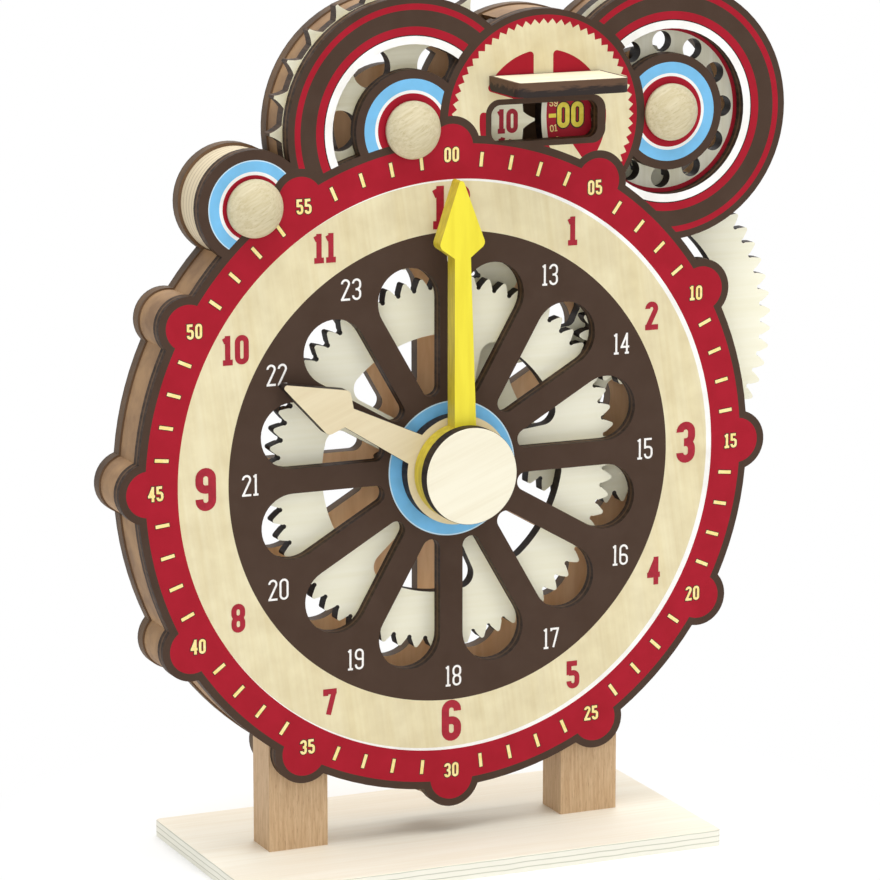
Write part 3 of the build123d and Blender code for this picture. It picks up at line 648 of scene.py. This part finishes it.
def penDigit(bm, digit, left, wide, style, swell, step):
    # strokes of one digit: w and h are the pen's travel, r the round ends, m the length left over beside a bowl
    w = wide - style["pen"]
    h = 1 - style["pen"]
    r = w / 2
    m = max(h / 2 - 2 * r, 0)
    end = swell  # a swollen outline also reaches past the ends of the strokes
    tip = style["pen"] / 2 + end
    x0, x1, y0, y1 = left, left + w, -h / 2, h / 2
    mid = (x0 + x1) / 2
    flag = y1 - style["pen"] * digitShape["flagDrop"]
    waist = r * digitShape["waist"]
    stem = x1 - r * digitShape["stemIn"]
    drop = h * digitShape["barDrop"]
    slant = w * digitShape["slantWide"]
    bowl = h * digitShape["bowlUp"]
    tail = digitShape["tail"]
    leg = w * digitShape["legWide"]
    strokes = {
        "0": [((x0, 0), 90, [h / 2 - r, (-180, r), h - 2 * r, (-180, r), h / 2 - r])],
        "1": [((mid, y0 - tip), 90, [h + 2 * tip]),
              ((mid, flag), digitShape["flagHeading"], [r + tip]),
              ((x0 - tip, y0), 0, [w + 2 * tip])],
        "2": [((x0, y1 - r - end), 90, [end, (-180 - 2 * math.degrees(math.atan2(r, h - r)), r), h - r]),
              ((x0 - tip, y0), 0, [w + 2 * tip])],
        "3": [((x0, y1 - r - end), 90, [end, (-180, r), m, (-90, r), end + waist]),
              ((mid - waist - end, 0), 0, [end + waist, (-90, r), m, (-180, r), end])],
        "4": [((stem, y0 - tip), 90, [h + 2 * tip]),
              ((stem, y1), 180 + math.degrees(math.atan2(drop, slant)), [math.hypot(drop, slant)]),
              ((x0 - tip, y1 - drop), 0, [w + 2 * tip]),
              ((x1 - r - end, y0), 0, [r * digitShape["footWide"] + 2 * end])],
        "5": [((x1 + end, y1), 180, [w + end]),
              ((x0, y1 + tip), 270, [h / 2 + tip]),
              ((x0, bowl), 0, [w - r, (-90, r), m + bowl, (-180, r), end + h * tail])],
        "6": [((x1, y1 - r - end - tail), 90, [end + tail, (180, r), h - 2 * r, (180, r), m]),
              ((x1, y0 + r + m), 90, [(90, r), r])],
        "7": [((x0 - end, y1), 0, [w + tip + end]),
              ((x0, y1 + tip), 270, [tip * 2 + h * digitShape["lip"]]),
              ((x1, y1), 180 + math.degrees(math.atan2(h, leg)), [math.hypot(h, leg) + end])],
        "8": [((mid, 0), 180, [(-90, r), m, (-180, r), m, (-90, r)]),
              ((mid, 0), 0, [(-90, r), m, (-180, r), m, (-90, r)])],
        "9": [((x0, y0 + r + end + tail), 270, [end + tail, (180, r), h - 2 * r, (180, r), m]),
              ((x0, y1 - r - m), 270, [(90, r), r])],
    }
    # crossing strokes lie a step apart, so that no two share a plane
    for i, (at, heading, moves) in enumerate(strokes[digit]):
        penStroke(bm, at, i * step, heading, [move for move in moves if move], style["pen"] + 2 * swell)


def stampNumber(bm, text, style, swell, tall, bearing, reach, axis, faceY, upright, lift):
    # one number, drawn flat, centred, then stood up against a printed face
    number = bmesh.new()
    wides = [style["wide"] * (style["one"] if digit == "1" else 1) for digit in text]
    left = -(sum(wides) + style["gap"] * (len(text) - 1)) / 2
    for digit, wide in zip(text, wides):
        penDigit(number, digit, left + style["pen"] / 2, wide, style, swell, inkLayer["step"] / tall)
        left += wide + style["gap"]
    angle = math.radians(bearing)
    turn = 0 if upright is None else math.radians(bearing - upright)
    right, up = reach * mm * math.sin(angle), reach * mm * math.cos(angle)
    place = Vector((axis.x + right, faceY - lift * mm, axis.z + up))
    stood = Matrix.Rotation(turn, 4, "Y") @ Matrix.Rotation(math.pi / 2, 4, "X")
    bmesh.ops.transform(number, verts=number.verts,
                        matrix=Matrix.Translation(place) @ stood @ Matrix.Scale(tall * mm, 4))
    for face in number.faces:
        if face.normal.y > 0:
            face.normal_flip()
    skin = bmesh.ops.extrude_face_region(number, geom=number.faces[:], use_keep_orig=True)["geom"]
    bmesh.ops.translate(number, vec=(0, -inkLayer["thick"] * mm, 0),
                        verts=[item for item in skin if isinstance(item, bmesh.types.BMVert)])
    bmesh.ops.recalc_face_normals(number, faces=number.faces)
    sheet = bpy.data.meshes.new("number")
    number.to_mesh(sheet)
    number.free()
    bm.from_mesh(sheet)
    bpy.data.meshes.remove(sheet)


def printNumbers(name, entries, style, material, body, axis, faceY, upright=None):
    # entries are text, height, bearing and reach; an edge in the style adds a darker outline underneath
    layers = [(name + "Outline", style["edge"], inkLayer["under"], darkInk)] if style["edge"] else []
    for label, swell, lift, ink in layers + [(name, 0, inkLayer["over"], material)]:
        bm = bmesh.new()
        for text, tall, bearing, reach in entries:
            stampNumber(bm, text, style, swell, tall, bearing, reach, axis, faceY, upright, lift)
        finishPiece(label, bm, ink, body)


def printTicks(name, bearings, reach, long, wide, material, body, axis, faceY, lift):
    bm = bmesh.new()
    for bearing in bearings:
        bar = bmesh.ops.create_cube(bm, size=1.0)["verts"]
        bmesh.ops.scale(bm, vec=(wide * mm, inkLayer["thick"] * mm, long * mm), verts=bar)
        bmesh.ops.translate(bm, vec=(0, faceY - (lift + inkLayer["thick"] / 2) * mm, reach * mm), verts=bar)
        bmesh.ops.rotate(bm, cent=(0, 0, 0), matrix=Matrix.Rotation(math.radians(bearing), 3, "Y"), verts=bar)
        bmesh.ops.translate(bm, vec=(axis.x, 0, axis.z), verts=bar)
    finishPiece(name, bm, material, body)


# the dial: degrees per minute, per hour and per point of the hour disc, then heights and reaches
degrees = {"minute": 6, "hour": 30, "point": 15}
dialNumbers = {"minuteTall": 5.2, "minuteReach": 109.6, "hourTall": 10.2, "hourReach": 92.5,
               "quarterTall": 15.0, "quarterReach": 91.5, "dayTall": 7.5, "dayReach": 75.3,
               "tickReach": 107.9, "tickLong": 5.0, "tickWide": 1.2, "tickEdge": 0.5}
minuteStyle = {"wide": 0.48, "one": 0.75, "pen": 0.17, "gap": 0.1, "edge": 0.055}
hourStyle = {"wide": 0.5, "one": 0.7, "pen": 0.19, "gap": 0.08, "edge": 0}
dayStyle = {"wide": 0.45, "one": 0.55, "pen": 0.1, "gap": 0.1, "edge": 0}
# bearing and reach of the numbers that the print sets off their hour
movedHours = {2: (58.3, 91.0), 3: (89.4, 91.5), 4: (119.6, 91.1), 5: (149.3, 93.0), 10: (300.6, 93.0),
              11: (329.5, 93.0)}
movedDayHours = {14: (59.5, 76.2), 16: (119.9, 76.0), 17: (149.4, 76.3), 18: (179.4, 75.3), 19: (209.1, 74.9)}


def dialEntries(labels, kind, moved):
    # each number of one kind, at its hour unless the print sets it elsewhere
    tall, reach = dialNumbers[kind + "Tall"], dialNumbers[kind + "Reach"]
    return [(text, tall, *moved.get(hour, (hour * degrees["hour"], reach))) for hour, text in labels]


minutes = dialEntries([(h, f"{h * 5:02d}") for h in range(12)], "minute", {})
hours = dialEntries([(h, str(h)) for h in range(1, 13) if h % 3], "hour", movedHours)
quarters = dialEntries([(h, str(h)) for h in (3, 6, 9, 12)], "quarter", movedHours)
dayHours = dialEntries([(h, str(h % 24)) for h in range(13, 25)], "day", movedDayHours)
printNumbers("minuteNumbers", minutes, minuteStyle, creamInk, "frame", dialAxis, dialFaceY)
printNumbers("hourNumbers", hours + quarters, hourStyle, redInk, "frame", dialAxis, dialFaceY)
printNumbers("dayHourNumbers", dayHours, dayStyle, whiteInk, "frame", dialAxis, dialFaceY)
tickBearings = [m * degrees["minute"] for m in range(60) if m % 5]
for name, edge, ink, lift in (("minuteTicks", 0, creamInk, inkLayer["over"]),
                              ("minuteTickEdges", dialNumbers["tickEdge"], darkInk, inkLayer["under"])):
    printTicks(name, tickBearings, dialNumbers["tickReach"], dialNumbers["tickLong"] + edge,
               dialNumbers["tickWide"] + edge, ink, "frame", dialAxis, dialFaceY, lift)
print("dial numbers and ticks printed")

# the two display discs: hours read upright at three o'clock, minutes upright at nine o'clock
displayNumbers = {"hourNow": 10, "hourAt": 90, "hourTall": 8.5, "hourReach": 39.2, "minuteAt": 270,
                  "fiveTall": 9.0, "fiveReach": 35.4, "minuteTall": 2.4, "minuteReach": 42.1,
                  "dashReach": 42.3, "dashLong": 2.8, "dashWide": 1.4}
displayStyle = {"wide": 0.52, "one": 0.62, "pen": 0.2, "gap": 0.06, "edge": 0}
fiveStyle = {"wide": 0.53, "one": 0.75, "pen": 0.185, "gap": 0.07, "edge": 0.05}
oneStyle = {"wide": 0.6, "one": 0.7, "pen": 0.15, "gap": 0.12, "edge": 0}
hourAt, minuteAt = displayNumbers["hourAt"], displayNumbers["minuteAt"]
pointBearings = [hourAt + degrees["point"] * (h - displayNumbers["hourNow"]) for h in range(24)]
discBearings = [minuteAt - degrees["minute"] * m for m in range(60)]
starHours = [(str(h), displayNumbers["hourTall"], bearing, displayNumbers["hourReach"])
             for h, bearing in enumerate(pointBearings)]
fives = [(f"{m:02d}", displayNumbers["fiveTall"], discBearings[m], displayNumbers["fiveReach"])
         for m in range(0, 60, 5)]
ones = [(f"{m:02d}", displayNumbers["minuteTall"], discBearings[m], displayNumbers["minuteReach"])
        for m in range(60) if m % 5]
printNumbers("displayHours", starHours, displayStyle, redInk, "hour_display", starAxis, starFaceY, hourAt)
printNumbers("displayFives", fives, fiveStyle, yellowInk, "minute_display", discAxis, discFaceY, minuteAt)
printNumbers("displayMinutes", ones, oneStyle, creamInk, "minute_display", discAxis, discFaceY, minuteAt)
printTicks("displayDashes", discBearings[::5], displayNumbers["dashReach"], displayNumbers["dashLong"],
           displayNumbers["dashWide"], yellowInk, "minute_display", discAxis, discFaceY, inkLayer["over"])
print("display numbers printed")

# Stage: a white paper floor that fades into the background, and soft studio light

stage = {"floorHalf": 4.0, "floorDrop": 0.02, "floor": "#fefefd", "roughness": 0.9, "specular": 0.1,
         "shadow": (0.06, 0.17), "worldLight": 0.61}
white = tint("#ffffff")


def seenDirectly(tree):
    # 1 for what is looked at, also in a reflection or through glass, and 0 for light that falls on things
    path = add(tree, "LightPath")
    shiny = calc(tree, "MAXIMUM", path.outputs["Is Camera Ray"], path.outputs["Is Glossy Ray"])
    return calc(tree, "MAXIMUM", shiny, path.outputs["Is Transmission Ray"])


bm = bmesh.new()
bmesh.ops.create_grid(bm, x_segments=2, y_segments=2, size=stage["floorHalf"])
bmesh.ops.translate(bm, vec=(0, 0, -stage["floorDrop"] * mm), verts=bm.verts)
floorMesh = bpy.data.meshes.new("studioFloor")
bm.to_mesh(floorMesh)
bm.free()
floor = bpy.data.objects.new("studioFloor", floorMesh)
bpy.context.scene.collection.objects.link(floor)
# matt paper near the clock, so that only the shadow shows, and plain white further out, which lights nothing
floorMaterial, tree, paper = startMaterial("whitePaperFloor", stage["roughness"], stage["specular"])
paper.inputs["Base Color"].default_value = tint(stage["floor"])
away = vectorCalc(tree, "LENGTH", add(tree, "TexCoord").outputs["Object"]).outputs["Value"]
fade = fadeAcross(tree, away, stage["shadow"], interpolation_type="SMOOTHSTEP")
glow = add(tree, "Emission", {"Color": white, "Strength": 1.0})
mix = add(tree, "MixShader", {0: calc(tree, "MULTIPLY", fade, seenDirectly(tree)), 1: paper, 2: glow})
tree.links.new(mix.outputs[0], tree.nodes["Material Output"].inputs["Surface"])
floorMesh.materials.append(floorMaterial)

world = bpy.data.worlds.new("studioWorld")
bpy.context.scene.world = world
world.use_nodes = True
tree = world.node_tree
tree.nodes.clear()
light = add(tree, "Background", {"Color": white, "Strength": stage["worldLight"]})
seen = add(tree, "Background", {"Color": white, "Strength": 1.0})
mix = add(tree, "MixShader", {0: seenDirectly(tree), 1: light, 2: seen})
add(tree, "OutputWorld", {"Surface": mix})

lamps = {
    "keyLamp": {"at": (0.5, -1.5, 1.2), "size": 0.9, "power": 2.4},
    "fillLamp": {"at": (-0.85, -1.5, 0.5), "size": 0.6, "power": 2.1},
    "topLamp": {"at": (0.0, -0.3, 1.8), "size": 1.2, "power": 20.0},
    "rearLamp": {"at": (0.6, 0.9, 1.4), "size": 0.8, "power": 7.0},
}
aim = Vector((0, 0, 0.15))
for name, lamp in lamps.items():
    data = bpy.data.lights.new(name, "AREA")
    data.size = lamp["size"]
    data.energy = lamp["power"]
    holder = bpy.data.objects.new(name, data)
    bpy.context.scene.collection.objects.link(holder)
    holder.location = lamp["at"]
    holder.rotation_euler = (aim - holder.location).to_track_quat("-Z", "Y").to_euler()

# the camera's place and lens, as fitted to the photograph's 880 by 880 frame
shot = {"at": (-0.5978, -1.3517, 0.4541), "look": (0.3966, 0.8950, -0.2040), "sensor": 36.0, "lens": 176.1}
camera = bpy.data.objects.new("camera", bpy.data.cameras.new("camera"))
bpy.context.scene.collection.objects.link(camera)
camera.data.sensor_width = shot["sensor"]
camera.data.lens = shot["lens"]
camera.location = shot["at"]
camera.rotation_euler = Vector(shot["look"]).to_track_quat("-Z", "Y").to_euler()
bpy.context.scene.camera = camera
bpy.context.scene.view_settings.view_transform = "Standard"
print("stage, lamps and camera set")
